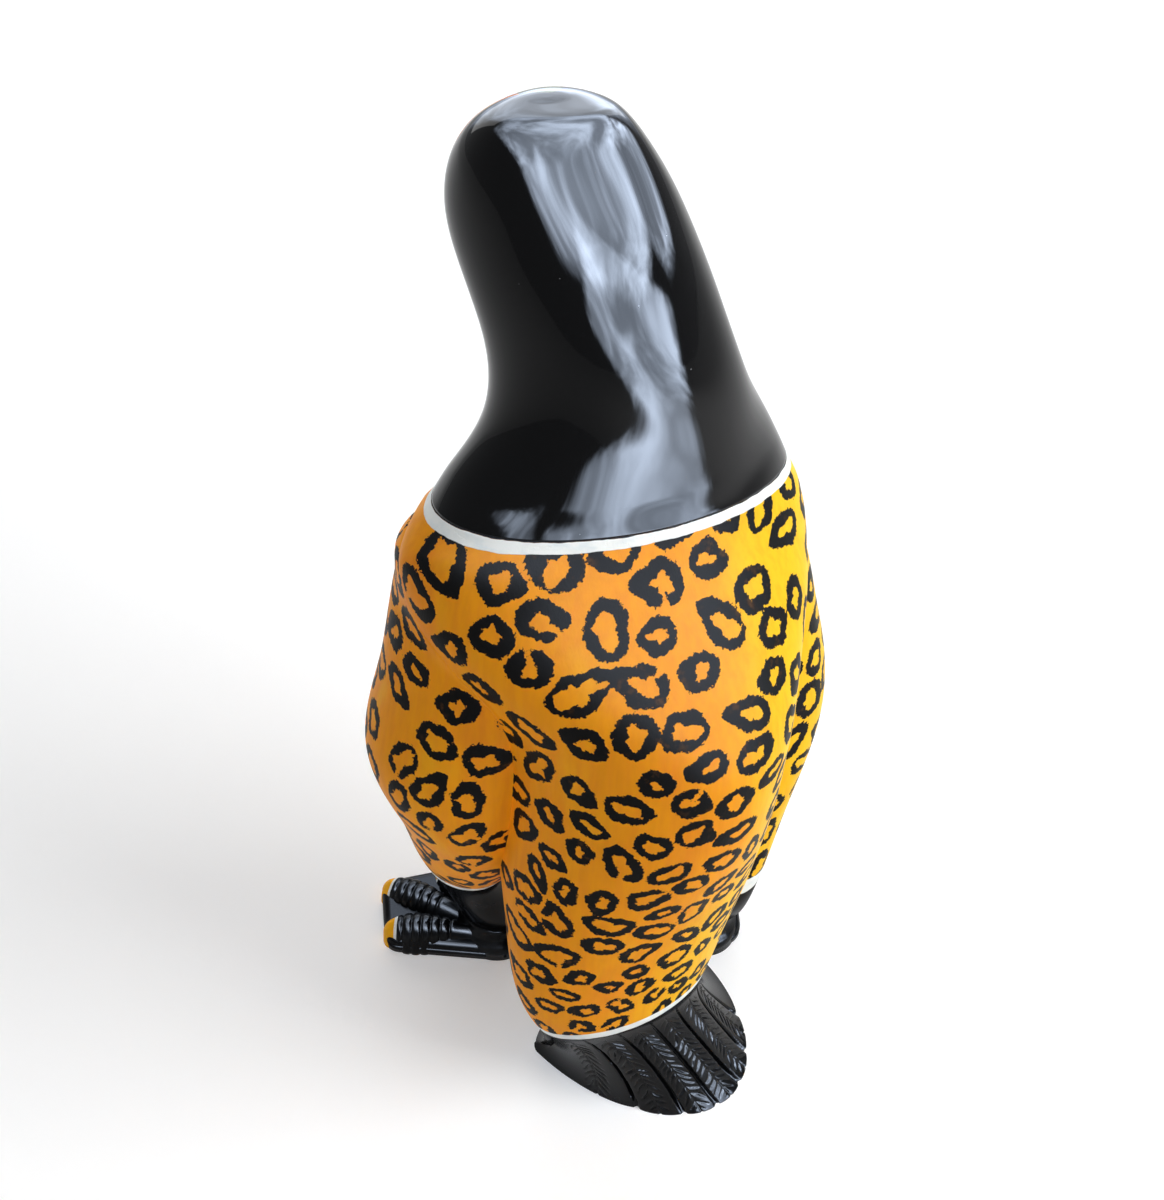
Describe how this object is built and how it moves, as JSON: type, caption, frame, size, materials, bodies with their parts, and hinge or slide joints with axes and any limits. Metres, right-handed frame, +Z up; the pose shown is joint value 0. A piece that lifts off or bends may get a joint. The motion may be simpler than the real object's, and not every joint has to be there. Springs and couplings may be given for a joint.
{
  "type": "carved wooden bird figure",
  "caption": "Standing carved and painted wooden bird with a long smooth neck, rosette-spotted body and legs, toed feet and a carved tail fan that it rests on.",
  "frame": {"origin": "middle of the figure's footprint, on the surface that it stands on", "axes": "+Z up through the crown, the bird faces -Y, its left side is +X"},
  "size_m": [0.2756, 0.2604, 0.5974],
  "materials": {
    "black_enamel": "carved softwood under gloss black enamel",
    "rosette_enamel": "carved softwood under orange and yellow enamel with brushed black rosettes, gloss varnish",
    "beak_enamel": "carved softwood under orange enamel, gloss varnish",
    "dowel_wood": "bare turned hardwood"
  },
  "bodies": {
    "root": {"head": "black_enamel", "left_ankle_dowel": "dowel_wood", "left_foot": "black_enamel", "left_hip_dowel_1": "dowel_wood", "left_hip_dowel_2": "dowel_wood", "left_leg": "rosette_enamel", "lower_beak": "beak_enamel", "lower_beak_dowel": "dowel_wood", "neck_dowel_1": "dowel_wood", "neck_dowel_2": "dowel_wood", "right_ankle_dowel": "dowel_wood", "right_foot": "black_enamel", "right_hip_dowel_1": "dowel_wood", "right_hip_dowel_2": "dowel_wood", "right_leg": "rosette_enamel", "tail_dowel_1": "dowel_wood", "tail_dowel_2": "dowel_wood", "tail_fan": "black_enamel", "torso": "rosette_enamel", "upper_beak": "beak_enamel", "upper_beak_dowel": "dowel_wood"}
  },
  "joints": []
}
